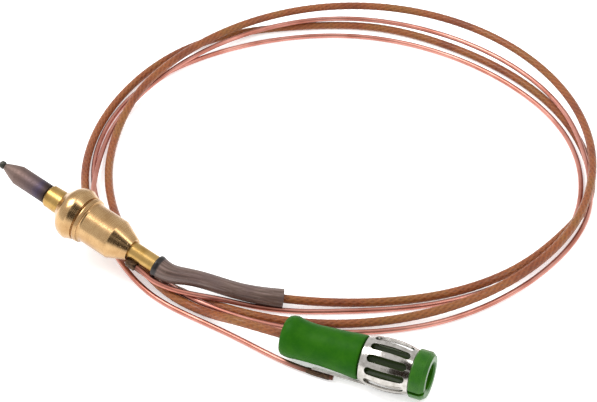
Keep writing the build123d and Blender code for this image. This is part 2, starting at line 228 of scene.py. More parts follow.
def extend(line, points):
    """Adds the two end points that the bar's flat ends give, along the end tangents."""
    ends = []
    for end, inner in ((line[0], line[3]), (line[-1], line[-4])):
        tangent = (end - inner) / np.linalg.norm(end - inner)
        near = points[np.linalg.norm(points - end, axis=1) < END_REACH]
        ends.append(end + tangent * max(0.1, float(((near - end) @ tangent).max())))
    return np.vstack([ends[0], line, ends[1]])


# ------------------------------------------------------------------ mesh building
def tangents(line):
    """Unit tangent at each point of a line."""
    t = np.gradient(line, axis=0)
    return t / np.linalg.norm(t, axis=1)[:, None]


def frames(line):
    """Two unit directions across a line at each point, carried along without twist."""
    t = tangents(line)
    first = np.cross(t[0], [0.0, 0.0, 1.0])
    across = [first / np.linalg.norm(first)]
    for k in range(1, len(line)):
        v = across[-1] - t[k] * np.dot(across[-1], t[k])
        across.append(v / np.linalg.norm(v))
    across = np.array(across)
    return across, np.cross(t, across)


def new_mesh(name, points, faces, uvs=None):
    """Mesh object from points in millimetres; uvs holds one pair for each face corner."""
    mesh = bpy.data.meshes.new(name)
    mesh.from_pydata((np.asarray(points) * MM).tolist(), [], faces)
    if uvs is not None:
        layer = mesh.uv_layers.new(name="UVMap")
        layer.data.foreach_set("uv", np.asarray(uvs, dtype=np.float32).ravel())
    mesh.polygons.foreach_set("use_smooth", [True] * len(mesh.polygons))
    mesh.update()
    mesh.validate()
    obj = bpy.data.objects.new(name, mesh)
    bpy.context.scene.collection.objects.link(obj)
    return obj


def tube_faces(rings, sides):
    """Quads and corner coordinates of a closed tube of rings, wound outwards."""
    faces, uvs = [], []
    for r in range(rings - 1):
        for s in range(sides):
            n = (s + 1) % sides
            faces.append((r * sides + s, r * sides + n, (r + 1) * sides + n, (r + 1) * sides + s))
            u0, u1 = s / sides, (s + 1) / sides
            uvs += [(r, u0), (r, u1), (r + 1, u1), (r + 1, u0)]
    faces.append(tuple(range(sides))[::-1])
    uvs += [(0, s / sides) for s in range(sides)]
    faces.append(tuple((rings - 1) * sides + s for s in range(sides)))
    uvs += [(rings - 1, s / sides) for s in range(sides)]
    return faces, uvs


def swept(name, line, radius, sides, scales=(1.0, 1.0)):
    """Closed round bar along a line.  radius(along, angle) takes arrays in millimetres
    and radians; scales stretches the bar in its two directions across."""
    across, over = frames(line)
    arc = np.concatenate([[0.0], np.cumsum(np.linalg.norm(np.diff(line, axis=0), axis=1))])
    angle = np.arange(sides) * 2 * math.pi / sides
    grid_arc, grid_angle = np.meshgrid(arc, angle, indexing="ij")
    size = radius(grid_arc, grid_angle)
    x, y = size * np.cos(grid_angle) * scales[0], size * np.sin(grid_angle) * scales[1]
    points = (line[:, None, :] + x[:, :, None] * across[:, None, :]
              + y[:, :, None] * over[:, None, :])
    faces, uvs = tube_faces(len(line), sides)
    uvs = np.array(uvs)
    uvs[:, 0] = arc[uvs[:, 0].astype(int)]
    return new_mesh(name, points.reshape(-1, 3), faces, uvs)


def lathed(name, axis, outline, sides, shape):
    """Closed solid of revolution from a closed outline of (out, along) in millimetres.
    shape(out, along, angle) gives the radius at each place; angle 0 points up."""
    angle = np.arange(sides) * 2 * math.pi / sides
    rows = len(outline)
    points = []
    for out, along in outline:
        for a in angle:
            r = shape(out, along, a)
            points.append(axis.point(along, r * math.cos(a), r * math.sin(a)) / MM)
    faces = []
    for k in range(rows):
        n = (k + 1) % rows
        for s in range(sides):
            m = (s + 1) % sides
            faces.append((k * sides + s, k * sides + m, n * sides + m, n * sides + s))
    return new_mesh(name, np.array(points), faces)


def fine(outline, step):
    """Closed outline with points added so that no edge is longer than step."""
    made = []
    for k, (out, along) in enumerate(outline):
        next_out, next_along = outline[(k + 1) % len(outline)]
        count = max(1, math.ceil(math.hypot(next_out - out, next_along - along) / step))
        made += [(out + (next_out - out) * j / count, along + (next_along - along) * j / count)
                 for j in range(count)]
    return made


def face_out(obj):
    """Turns the faces of a closed mesh outwards."""
    work = bmesh.new()
    work.from_mesh(obj.data)
    bmesh.ops.recalc_face_normals(work, faces=work.faces)
    work.to_mesh(obj.data)
    work.free()
    return obj


# ------------------------------------------------------------------ material kit
def shade(red, green, blue):
    """Linear colour from 0-255 screen values."""
    def one(value):
        value /= 255
        return value / 12.92 if value <= 0.04045 else ((value + 0.055) / 1.055) ** 2.4
    return one(red), one(green), one(blue), 1.0


class Paint:
    """A procedural material under construction; distances are in millimetres."""

    def __init__(self, name, **settings):
        self.material = bpy.data.materials.new(name)
        self.material.use_nodes = True
        self.tree = self.material.node_tree
        self.tree.nodes.clear()
        output = self.node("ShaderNodeOutputMaterial")
        self.skin = self.node("ShaderNodeBsdfPrincipled")
        self.tree.links.new(self.skin.outputs[0], output.inputs[0])
        where = self.node("ShaderNodeTexCoord")
        scaled = self.node("ShaderNodeVectorMath", operation="SCALE")
        scaled.inputs["Scale"].default_value = 1 / MM
        self.tree.links.new(where.outputs["Object"], scaled.inputs[0])
        self.place = scaled.outputs[0]
        self.uv = where.outputs["UV"]
        for key, value in settings.items():
            self.set(key.replace("_", " "), value)

    def node(self, kind, **settings):
        made = self.tree.nodes.new(kind)
        for key, value in settings.items():
            setattr(made, key, value)
        return made

    def give(self, socket, value):
        """Links a socket or sets a constant."""
        if isinstance(value, bpy.types.NodeSocket):
            self.tree.links.new(value, socket)
        else:
            socket.default_value = value

    def set(self, name, value):
        names = {"base": "Base Color", "metal": "Metallic", "rough": "Roughness",
                 "coat": "Coat Weight", "coat rough": "Coat Roughness",
                 "specular": "Specular IOR Level"}
        self.give(self.skin.inputs[names[name]], value)

    def sum(self, kind, a, b=0.0, c=0.0):
        """One arithmetic node."""
        made = self.node("ShaderNodeMath", operation=kind)
        for socket, value in zip(made.inputs, (a, b, c)):
            self.give(socket, value)
        return made.outputs[0]

    def vector(self, x, y, z):
        made = self.node("ShaderNodeCombineXYZ")
        for socket, value in zip(made.inputs, (x, y, z)):
            self.give(socket, value)
        return made.outputs[0]

    def split(self, vector):
        made = self.node("ShaderNodeSeparateXYZ")
        self.give(made.inputs[0], vector)
        return made.outputs

    def along(self, axis):
        """Distance along an axis."""
        shifted = self.node("ShaderNodeVectorMath", operation="SUBTRACT")
        self.give(shifted.inputs[0], self.place)
        shifted.inputs[1].default_value = axis.origin / MM
        dot = self.node("ShaderNodeVectorMath", operation="DOT_PRODUCT")
        self.give(dot.inputs[0], shifted.outputs[0])
        dot.inputs[1].default_value = axis.along
        return dot.outputs["Value"]

    def facing(self, direction):
        """How far the surface faces a direction, 0 to 1."""
        shape = self.node("ShaderNodeNewGeometry")
        dot = self.node("ShaderNodeVectorMath", operation="DOT_PRODUCT")
        self.give(dot.inputs[0], shape.outputs["Normal"])
        dot.inputs[1].default_value = Vector(direction).normalized()
        return self.sum("MULTIPLY_ADD", dot.outputs["Value"], 0.5, 0.5)

    def noise(self, vector, scale, detail=3.0, rough=0.55):
        made = self.node("ShaderNodeTexNoise")
        self.give(made.inputs["Vector"], vector)
        made.inputs["Scale"].default_value = scale
        made.inputs["Detail"].default_value = detail
        made.inputs["Roughness"].default_value = rough
        return made.outputs["Fac"]

    def cells(self, vector, scale):
        made = self.node("ShaderNodeTexVoronoi")
        self.give(made.inputs["Vector"], vector)
        made.inputs["Scale"].default_value = scale
        return made.outputs["Distance"]

    def ramp(self, value, *stops):
        """Colour or grey ramp from (position, colour or grey) stops."""
        made = self.node("ShaderNodeValToRGB")
        self.give(made.inputs[0], value)
        bar = made.color_ramp.elements
        while len(bar) < len(stops):
            bar.new(0.5)
        for slot, (position, tone) in zip(bar, stops):
            slot.position = position
            slot.color = tone if isinstance(tone, tuple) else (tone, tone, tone, 1.0)
        return made.outputs[0]

    def span(self, value, low, high, to_low=0.0, to_high=1.0):
        """Maps a range onto another, held at its ends."""
        made = self.node("ShaderNodeMapRange")
        for socket, number in zip(made.inputs, (value, low, high, to_low, to_high)):
            self.give(socket, number)
        return made.outputs[0]

    def mix(self, share, a, b):
        """Blends two colours; the node's sockets 6, 7 and 2 are its colour ones."""
        made = self.node("ShaderNodeMix", data_type="RGBA")
        self.give(made.inputs[0], share)
        self.give(made.inputs[6], a)
        self.give(made.inputs[7], b)
        return made.outputs[2]

    def edges(self, size):
        """Mask that is high where an edge is nearer than size."""
        shape = self.node("ShaderNodeNewGeometry")
        rounded = self.node("ShaderNodeBevel", samples=4)
        rounded.inputs["Radius"].default_value = size * MM
        dot = self.node("ShaderNodeVectorMath", operation="DOT_PRODUCT")
        self.give(dot.inputs[0], shape.outputs["Normal"])
        self.give(dot.inputs[1], rounded.outputs[0])
        return self.span(dot.outputs["Value"], 0.995, 0.9)

    def bump(self, *layers, round_edges=0.0):
        """Stacks (height, depth in millimetres) layers into the normal."""
        normal = None
        if round_edges:
            rounded = self.node("ShaderNodeBevel", samples=4)
            rounded.inputs["Radius"].default_value = round_edges * MM
            normal = rounded.outputs[0]
        for height, depth in layers:
            made = self.node("ShaderNodeBump")
            made.inputs["Strength"].default_value = 1.0
            made.inputs["Distance"].default_value = depth * MM
            self.give(made.inputs["Height"], height)
            if normal is not None:
                self.give(made.inputs["Normal"], normal)
            normal = made.outputs[0]
        self.give(self.skin.inputs["Normal"], normal)

    def around(self, turns):
        """Seamless vector from a swept piece's UV: position on a circle, and length."""
        u, v, _ = self.split(self.uv)
        angle = self.sum("MULTIPLY", v, 2 * math.pi)
        x = self.sum("MULTIPLY", self.sum("COSINE", angle), turns)
        y = self.sum("MULTIPLY", self.sum("SINE", angle), turns)
        return x, y, u


# ------------------------------------------------------------------ materials
def brass(name, light, dark, rough, axis):
    """Turned brass: tool lines round the axis, soft tarnish, pits, and edges lightened partly as
    rubbed wear and partly as a painted glint.
    """
    p = Paint(name, metal=1.0)
    along = p.along(axis)
    tarnish = p.noise(p.place, 0.35, 4.0)
    base = p.ramp(tarnish, (0.32, dark), (0.62, light))
    grain = p.noise(p.place, 3.0, 5.0, 0.7)
    base = p.mix(p.span(grain, 0.55, 0.8, 0.0, 0.25), base, shade(120, 88, 48))
    # Painted glint mixed with rubbed wear: edges lightened towards pale brass.
    base = p.mix(p.sum("MULTIPLY", p.edges(0.12), 0.4), base, shade(228, 202, 156))
    p.set("base", base)
    lines = p.noise(p.vector(along, 0.0, 0.0), 9.0, 3.0, 0.7)
    p.set("rough", p.span(lines, 0.3, 0.7, rough * 0.75, rough * 1.3))
    pits = p.span(p.cells(p.place, 0.9), 0.05, 0.09)
    p.bump((lines, 0.004), (grain, 0.004), (pits, 0.03), round_edges=0.06)
    return p.material


def tinted_steel():
    """Drawn steel sheath, blued and browned by heat towards the collar."""
    p = Paint("sheath_steel", metal=0.75)
    along = p.along(BODY)
    cloud = p.noise(p.place, 0.6, 4.0)
    shifted = p.sum("MULTIPLY_ADD", cloud, 1.6, p.sum("SUBTRACT", along, 0.8))
    tint = p.ramp(p.span(shifted, -23.0, -10.6),
                  (0.0, shade(80, 76, 70)), (0.18, shade(122, 102, 94)),
                  (0.45, shade(110, 90, 84)), (0.72, shade(96, 80, 82)),
                  (0.84, shade(70, 60, 78)), (0.93, shade(58, 44, 42)), (1.0, shade(36, 24, 18)))
    soot = p.noise(p.place, 2.5, 5.0, 0.65)
    tint = p.mix(p.span(soot, 0.5, 0.75, 0.0, 0.45), tint, shade(70, 54, 48))
    p.set("base", tint)
    p.set("rough", p.span(soot, 0.3, 0.7, 0.42, 0.58))
    drawn = p.noise(p.vector(p.sum("MULTIPLY", along, 0.25), p.facing((0, 0, 1)), 0.0), 18.0, 2.0)
    p.bump((drawn, 0.004), (soot, 0.008), round_edges=0.05)
    return p.material


def bead_skin():
    """Oxidised weld bead."""
    p = Paint("weld_bead", metal=0.55)
    crust = p.noise(p.place, 2.2, 5.0, 0.7)
    p.set("base", p.ramp(crust, (0.3, shade(38, 38, 34)), (0.55, shade(62, 62, 56)),
                         (0.75, shade(92, 88, 78))))
    p.set("rough", p.span(crust, 0.3, 0.7, 0.38, 0.62))
    p.bump((crust, 0.05))
    return p.material


def braid_cloth():
    """Varnished glass-fibre braid in warm brown, with darker soaked patches, painted shade where
    the strands dip under and a painted sheen on the strands that run one way.
    """
    p = Paint("brown_braid", coat=0.25, coat_rough=0.22, specular=0.25)
    u, v, _ = p.split(p.uv)
    turn = p.sum("MULTIPLY", v, 2 * math.pi * BRAID_STRANDS)
    lay = p.sum("MULTIPLY", u, 2 * math.pi / BRAID_STEP)
    one = p.sum("COSINE", p.sum("ADD", turn, lay))
    two = p.sum("COSINE", p.sum("SUBTRACT", turn, lay))
    over = p.sum("MAXIMUM", one, two)
    crossing = p.sum("GREATER_THAN", one, two)
    thread_one = p.sum("SINE", p.sum("MULTIPLY", p.sum("ADD", turn, lay), 6.0))
    thread_two = p.sum("SINE", p.sum("MULTIPLY", p.sum("SUBTRACT", turn, lay), 6.0))
    fibres = p.sum("MULTIPLY_ADD", crossing, p.sum("SUBTRACT", thread_one, thread_two), thread_two)
    patch = p.noise(p.place, 0.09, 3.0)
    speck = p.noise(p.place, 1.4, 4.0, 0.7)
    base = p.ramp(patch, (0.36, shade(120, 58, 28)), (0.48, shade(140, 76, 36)),
                  (0.62, shade(134, 84, 36)))
    base = p.mix(p.span(speck, 0.52, 0.72, 0.0, 0.4), base, shade(96, 44, 22))
    base = p.mix(p.span(speck, 0.42, 0.28, 0.0, 0.3), base, shade(140, 106, 56))
    # Painted shade: darker brown where the strands dip under one another.
    base = p.mix(p.span(over, -0.2, 0.5, 0.35, 0.0), base, shade(76, 34, 16))
    # Painted sheen: the strands that run one way are lightened a little.
    base = p.mix(p.sum("MULTIPLY", crossing, 0.08), base, shade(186, 132, 92))
    p.set("base", base)
    p.set("rough", p.span(speck, 0.3, 0.7, 0.38, 0.6))
    p.bump((over, 0.03), (fibres, 0.005), (speck, 0.02))
    return p.material


def copper_skin(length):
    """Bare drawn copper: die lines, faint oxide, darkened where it was heated."""
    p = Paint("copper", metal=1.0)
    x, y, u = p.around(1.0)
    patch = p.noise(p.place, 0.12, 3.0)
    base = p.ramp(patch, (0.35, shade(176, 112, 96)), (0.5, shade(194, 132, 118)),
                  (0.66, shade(206, 148, 134)))
    die = p.noise(p.vector(x, y, p.sum("MULTIPLY", u, 0.03)), 6.0, 4.0, 0.7)
    base = p.mix(p.span(die, 0.5, 0.72, 0.0, 0.22), base, shade(172, 104, 88))
    spots = p.noise(p.place, 1.1, 5.0, 0.7)
    base = p.mix(p.span(spots, 0.6, 0.72, 0.0, 0.4), base, shade(136, 82, 70))
    burnt = p.sum("MAXIMUM", p.span(u, length - 13.0, length - 4.5), p.span(u, 6.5, 2.0))
    base = p.mix(p.sum("MULTIPLY", burnt, 0.85), base, shade(66, 40, 26))
    p.set("base", base)
    p.set("rough", p.sum("MULTIPLY_ADD", burnt, 0.22, p.span(die, 0.3, 0.7, 0.3, 0.42)))
    p.bump((die, 0.004), (spots, 0.004))
    return p.material


def sleeve_skin():
    """Grey satin sleeving with fine grooves along it and a black band at the mouth, partly its dark
    rim and partly painted shade of the open mouth.
    """
    p = Paint("grey_sleeve", coat=0.2, coat_rough=0.2, specular=0.35)
    x, y, u = p.around(1.6)
    groove = p.noise(p.vector(x, y, p.sum("MULTIPLY", u, 0.035)), 4.5, 4.0, 0.75)
    base = p.ramp(groove, (0.34, shade(66, 50, 44)), (0.5, shade(92, 72, 64)),
                  (0.66, shade(126, 106, 98)))
    blush = p.noise(p.place, 0.22, 3.0)
    base = p.mix(p.span(blush, 0.45, 0.65, 0.0, 0.45), base, shade(92, 72, 72))
    scuff = p.noise(p.place, 2.0, 5.0, 0.7)
    base = p.mix(p.span(scuff, 0.6, 0.75, 0.0, 0.3), base, shade(140, 128, 118))
    # Painted shade: a black band round the mouth, partly the rim's dark colour and partly the shade
    # of the open mouth.
    rim = p.span(u, MOUTH_RIM_AND_SHADE_WIDTH * 1.15, MOUTH_RIM_AND_SHADE_WIDTH * 0.85)
    base = p.mix(rim, base, shade(22, 16, 16))
    p.set("base", base)
    p.set("rough", p.span(groove, 0.3, 0.7, 0.42, 0.28))
    p.bump((groove, 0.028), (scuff, 0.006))
    return p.material


def boot_skin():
    """Soft green plastic: satin, slightly mottled, fine surface grain, with painted highlights on
    its edges.
    """
    p = Paint("green_soft", specular=0.08)
    cloud = p.noise(p.place, 0.3, 3.0)
    base = p.ramp(cloud, (0.35, shade(24, 80, 2)), (0.65, shade(38, 92, 4)))
    dust = p.noise(p.place, 3.2, 5.0, 0.7)
    base = p.mix(p.span(dust, 0.58, 0.78, 0.0, 0.2), base, shade(84, 126, 54))
    # Painted highlight: edges lightened towards pale green.
    base = p.mix(p.sum("MULTIPLY", p.edges(0.25), 0.3), base, shade(78, 140, 44))
    p.set("base", base)
    p.set("rough", p.span(dust, 0.3, 0.7, 0.42, 0.56))
    p.bump((p.noise(p.place, 9.0, 3.0), 0.01), (dust, 0.02))
    return p.material


def nose_skin():
    """Moulded green plastic, glossier than the boot, with painted highlights on its edges and
    painted shade down inside the basket.
    """
    p = Paint("green_hard", coat=0.15, coat_rough=0.15, specular=0.18)
    along = p.along(PLUG)
    cloud = p.noise(p.place, 0.5, 3.0)
    base = p.ramp(cloud, (0.35, shade(28, 84, 2)), (0.65, shade(44, 98, 6)))
    # Painted highlight: edges lightened towards pale green.
    base = p.mix(p.sum("MULTIPLY", p.edges(0.15), 0.4), base, shade(90, 150, 54))
    # Painted shade: the stem behind the ring's rear face, inside the basket, is darkened.
    base = p.mix(p.span(along, RING_BACK + 0.3, RING_BACK - 0.3, 0.0, 0.9), base, shade(40, 46, 22))
    p.set("base", base)
    p.set("rough", p.span(p.noise(p.place, 4.0, 4.0), 0.3, 0.7, 0.24, 0.38))
    p.bump((p.noise(p.place, 7.0, 2.0), 0.006), round_edges=0.12)
    return p.material


def nickel_skin():
    """Nickel-plated spring sheet with fine rub marks, its edges painted darker as shade."""
    p = Paint("nickel", metal=1.0)
    along = p.along(PLUG)
    haze = p.noise(p.place, 0.8, 4.0)
    base = p.ramp(haze, (0.3, shade(158, 153, 146)), (0.6, shade(196, 192, 187)))
    # Painted shade: edges darkened towards grey-brown.
    base = p.mix(p.sum("MULTIPLY", p.edges(0.08), 0.35), base, shade(120, 112, 100))
    p.set("base", base)
    rub = p.noise(p.vector(p.sum("MULTIPLY", along, 6.0), haze, 0.0), 3.0, 3.0)
    p.set("rough", p.span(rub, 0.3, 0.7, 0.1, 0.24))
    p.bump((rub, 0.004), (p.noise(p.place, 2.5, 3.0), 0.006), round_edges=0.05)
    return p.material


def dull_metal(name, light, dark, rough):
    """Crimped or brazed metal, uneven and dark."""
    p = Paint(name, metal=0.8)
    crust = p.noise(p.place, 1.8, 5.0, 0.7)
    p.set("base", p.ramp(crust, (0.35, dark), (0.65, light)))
    p.set("rough", p.span(crust, 0.3, 0.7, rough * 0.8, rough * 1.3))
    p.bump((crust, 0.03), round_edges=0.08)
    return p.material


def matt_solid(name, light, dark, rough):
    """Matt ceramic or moulded insulation with a fine sandy surface."""
    p = Paint(name, specular=0.3)
    grain = p.noise(p.place, 5.0, 5.0, 0.7)
    cloud = p.noise(p.place, 0.5, 2.0)
    base = p.ramp(cloud, (0.3, dark), (0.7, light))
    p.set("base", p.mix(p.span(grain, 0.5, 0.8, 0.0, 0.5), base, dark))
    p.set("rough", rough)
    p.bump((grain, 0.015), round_edges=0.05)
    return p.material


# ------------------------------------------------------------------ pieces
def bump_at(points_mm, scale, seed):
    """Smooth noise between -1 and 1 at one place."""
    return noise.noise(Vector(points_mm) * scale + Vector((seed, seed * 0.7, -seed)))


def finish_piece(obj, material, slot, body, *nodes):
    """Gives a piece its material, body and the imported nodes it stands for."""
    obj.data.materials.clear()
    obj.data.materials.append(material)
    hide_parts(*nodes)
    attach(obj, body)
    return obj


def bar_start(name, off_axis):
    """Where a bar begins, seen along the body axis and close to it."""
    co = node_points(name)
    rel = co - np.array(BODY.origin)
    along = rel @ np.array(BODY.along)
    off = np.linalg.norm(rel - along[:, None] * np.array(BODY.along), axis=1)
    near = (off < off_axis * MM) & (along > 0)
    return Vector(co[near][np.argmin(along[near])])


def full_line(name, radius, off_axis):
    """Whole centre line of a packed bar, from the body end to the plug end."""
    line = centre_line(name, radius, bar_start(name, off_axis))
    return extend(line, node_points(name) / MM)


def node_span(name, axis):
    """Extent of a node along an axis, in millimetres."""
    reach = (node_points(name) - np.array(axis.origin)) @ np.array(axis.along) / MM
    return float(reach.min()), float(reach.max())


def braid_relief(arc, angle):
    """Radius of the braid: crossing strands stand a little proud."""
    lay = arc * 2 * math.pi / BRAID_STEP
    turn = BRAID_STRANDS * angle
    return LEAD_R - 0.01 + BRAID_RISE * np.maximum(np.cos(turn + lay), np.cos(turn - lay))


def trimmed(line, head, tail):
    """Line without the points before head on the body axis and past tail on the plug's."""
    first, last = 0, len(line) - 1
    while BODY.measure(Vector(line[first]) * MM) < head:
        first += 1
    while PLUG.measure(Vector(line[last]) * MM) > tail:
        last -= 1
    return line[first:last + 1]


def run_inside(line, name, bore):
    """The first run of a line's points that lie inside a packed tube of this bore."""
    points = node_points(name) / MM
    gap = [np.linalg.norm(points - p, axis=1).min() for p in line]
    last = 1
    while last < len(line) - 1 and gap[last] < bore:
        last += 1
    return line[:last]


def end_on(name, axis, off_axis, last=False):
    """Where a packed bar starts or stops on a straight axis, in millimetres."""
    rel = node_points(name) - np.array(axis.origin)
    along = rel @ np.array(axis.along)
    off = np.linalg.norm(rel - along[:, None] * np.array(axis.along), axis=1)
    near = along[(off < off_axis * MM) & (along > 0)] / MM
    return float(near.max() if last else near.min())


def braided_lead(line):
    """Glass-fibre braid over the whole lead."""
    head = end_on("lead_braid", BODY, LEAD_R + 0.1)
    tail = end_on("lead_braid", PLUG, LEAD_R + 0.1, last=True)
    path = trimmed(resample(line, 0.26), head, tail)
    obj = swept("braided_lead", path, braid_relief, 36)
    return finish_piece(obj, braid_cloth(), "brown_braid", LEAD_BODY, "lead_braid")


def core_strands(line):
    """Seven-strand copper core inside the braid."""
    def strands(arc, angle):
        return CORE_R - 0.05 + 0.05 * np.abs(np.cos(3 * angle + arc * 1.2))
    obj = swept("core_strands", resample(line, 0.5), strands, 18)
    return finish_piece(obj, copper_skin(BEYOND), "copper", LEAD_BODY, "lead_core")


def copper_return(line):
    """Bare copper wire: slightly uneven, pressed flat where it is clamped to the tab."""
    step = 0.4
    path = resample(line, step)
    length = step * (len(path) - 1)

    def size(arc, angle):
        return WIRE_R * (1 + 0.02 * np.sin(arc * 0.9) * np.sin(arc * 0.37 + angle))

    obj = swept("copper_return", path, size, 20)
    return finish_piece(obj, copper_skin(length), "copper", LEAD_BODY, "return_wire")


def grey_sleeving(line):
    """Sleeving: a lipped mouth over the brass tail, snug body, flared square-cut end."""
    head = node_span("insulating_sleeve", BODY)[0]
    step = 0.25
    path = resample(run_inside(trimmed(line, head, BEYOND), "insulating_sleeve", 1.3), step)
    arc_end = step * (len(path) - 1)
    mouth_length, flare_length = 7.5, 9.0

    def flare(arc):
        return 0.28 * np.clip((arc - arc_end + flare_length) / flare_length, 0, 1) ** 1.6

    def outer(arc, angle):
        drawn_in = np.clip((arc - 0.6) / mouth_length, 0, 1)
        neck = MOUTH_R + (SLEEVE_R - MOUTH_R) * drawn_in * (2 - drawn_in)
        lip = 0.1 * np.exp(-((arc - 0.35) / 0.3) ** 2)
        ribs = 0.02 * np.cos(11 * angle + 0.5 * np.sin(arc * 0.4))
        return neck + lip + flare(arc) + ribs

    def inner(arc, angle):
        return np.where(arc < 1.5, TAIL_R + 0.04, 1.05) + flare(arc)

    obj = swept_tube("grey_sleeving", path, outer, inner, 44)
    return finish_piece(obj, sleeve_skin(), "grey_sleeve", LEAD_BODY, "insulating_sleeve")


def swept_tube(name, line, outer, inner, sides):
    """Closed tube along a line from two radius functions."""
    across, over = frames(line)
    arc = np.concatenate([[0.0], np.cumsum(np.linalg.norm(np.diff(line, axis=0), axis=1))])
    angle = np.arange(sides) * 2 * math.pi / sides
    grid_arc, grid_angle = np.meshgrid(arc, angle, indexing="ij")
    skins = []
    for radius in (outer, inner):
        size = radius(grid_arc, grid_angle)
        skins.append(line[:, None, :] + (size * np.cos(grid_angle))[:, :, None] * across[:, None, :]
                     + (size * np.sin(grid_angle))[:, :, None] * over[:, None, :])
    points = np.concatenate([skins[0], skins[1][::-1]]).reshape(-1, 3)
    rows = 2 * len(line)
    faces, uvs = [], []
    arc = np.concatenate([arc, arc[::-1]])
    for r in range(rows):
        nr = (r + 1) % rows
        for s in range(sides):
            n = (s + 1) % sides
            faces.append((r * sides + s, r * sides + n, nr * sides + n, nr * sides + s))
            u0, u1 = s / sides, (s + 1) / sides
            uvs += [(arc[r], u0), (arc[r], u1), (arc[nr], u1), (arc[nr], u0)]
    return new_mesh(name, points, faces, uvs)


BOOT_OUTLINE = [
    (2.9, 0.7), (3.35, 0.78), (3.68, 1.1), (3.84, 1.7), (3.9, 2.6), (3.8, 4.2), (3.7, 6.5),
    (3.74, 9.0), (3.86, 11.5), (4.05, 14.2), (4.18, 15.6), (4.16, 15.95), (4.0, 16.18),
    (3.6, 16.2), (3.16, 16.2), (3.16, 7.2), (1.7, 5.2), (0.98, 4.8), (0.98, 1.1), (1.15, 0.7),
]


def soft_boot():
    """Green boot: humped at the rear, drawn in at the waist, thin lip at the basket."""
    def soft(out, along, angle):
        if out <= 3.3 or along >= 15.9:
            return out
        top = max(0.0, math.cos(angle))
        share = min(1.0, (out - 2.8) / 0.6)
        hump = 0.34 * top ** 2 * math.exp(-((along - 2.5) / 1.5) ** 2)
        waist = -0.22 * top * math.exp(-((along - 6.0) / 2.6) ** 2)
        wave = 0.05 * bump_at((along * 0.8, math.cos(angle) * 2, math.sin(angle) * 2), 0.8, 3.0)
        return out + share * (hump + waist + wave)

    obj = face_out(lathed("soft_boot", PLUG, fine(BOOT_OUTLINE, 0.3), 96, soft))
    return finish_piece(obj, boot_skin(), "green_soft", BOOT_BODY, "boot")


def weld_bead():
    """Lumpy weld bead at the tip."""
    low, high = node_span("hot_junction_bead", BODY)
    middle = (low + high) / 2
    work = bmesh.new()
    bmesh.ops.create_icosphere(work, subdivisions=5, radius=1.0)
    for vertex in work.verts:
        d = vertex.co.copy()
        lump = 1 + 0.09 * bump_at(d, 1.6, 5.0) + 0.03 * bump_at(d, 4.5, 2.0)
        blunt = math.copysign(abs(d.x) ** 0.8, d.x)
        along = middle + blunt * (high - low) / 2 * 1.02 * lump
        vertex.co = BODY.point(along, d.z * 0.8 * lump, d.y * 0.8 * lump)
    mesh = bpy.data.meshes.new("weld_bead")
    work.to_mesh(mesh)
    work.free()
    mesh.polygons.foreach_set("use_smooth", [True] * len(mesh.polygons))
    obj = bpy.data.objects.new("weld_bead", mesh)
    bpy.context.scene.collection.objects.link(obj)
    return finish_piece(face_out(obj), bead_skin(), "weld_bead", LEAD_BODY, "hot_junction_bead")


def clamp_on(name, path, node, wide, thick, lumps, material, rise=CLAMP_ROUND):
    """Metal squeezed round the wire: rounded block with uneven faces.  It swells to its
    full size over the length rise."""
    def size(arc, angle):
        length = arc.max()
        ends = np.clip(np.minimum(arc / rise, (length - arc) / CLAMP_ROUND), 0.0, 1.0) ** 0.5
        square = 1 / np.maximum(np.abs(np.cos(angle)), np.abs(np.sin(angle)))
        block = 0.35 + 0.65 * np.minimum(square, 1.22)
        uneven = 1 + lumps * np.sin(3.1 * arc + 2 * angle) * np.sin(1.7 * arc + 3 * angle + 1)
        return (0.75 + 0.25 * ends) * block * uneven

    obj = swept(name, resample(path, 0.08), size, 36, scales=(wide / 2, thick / 2))
    return finish_piece(face_out(obj), material, "dark_crimp", LEAD_BODY, node)


def clamps(line):
    """Brazed clip at the brass tail and crimp on the earth tab."""
    path = resample(line, 0.1)
    skin = dull_metal("dark_crimp", shade(96, 72, 50), shade(40, 28, 20), 0.42)
    near, far = node_span("earth_clip", BODY)
    first = np.array([p for p in path[:80] if near < BODY.measure(Vector(p) * MM) < far])
    clamp_on("tail_clip", first, "earth_clip", 1.75, 1.6, 0.07, skin)
    _, far = node_span("tab_crimp", PLUG)
    last = np.array([p for p in path[-80:] if CRIMP_START < PLUG.measure(Vector(p) * MM) < far])
    clamp_on("wire_crimp", last, "tab_crimp", 1.3, 1.12, 0.02, skin, rise=3.0)
    return skin


def dress(name, material):
    """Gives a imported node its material."""
    obj = frame["nodes"][name]
    obj.data.materials.clear()
    obj.data.materials.append(material)
    obj.data.polygons.foreach_set("material_index", [0] * len(obj.data.polygons))


def hard_parts(crimp_skin):
    """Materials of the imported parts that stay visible."""
    turned = brass("turned_brass", shade(190, 156, 112), shade(166, 130, 88), 0.25, BODY)
    yellow = brass("yellow_brass", shade(184, 150, 92), shade(158, 122, 62), 0.3, BODY)
    bush = matt_solid("bush", shade(120, 84, 54), shade(84, 54, 34), 0.6)
    nickel = nickel_skin()
    dress("mounting_body", turned)
    dress("carrier_tube", yellow)
    dress("probe_sheath", tinted_steel())
    dress("thermo_rod", dull_metal("rod_alloy", shade(180, 172, 158), shade(132, 124, 112), 0.3))
    dress("sheath_ceramic", matt_solid("ceramic", shade(238, 234, 222), shade(214, 206, 190), 0.75))
    dress("contact_basket", nickel)
    dress("centre_socket", nickel)
    dress("nose_insulator", nose_skin())
    for name in ("rear_bush", "lead_bush"):
        dress(name, bush)
    for name in ("cold_crimp", "core_ferrule"):
        dress(name, crimp_skin)


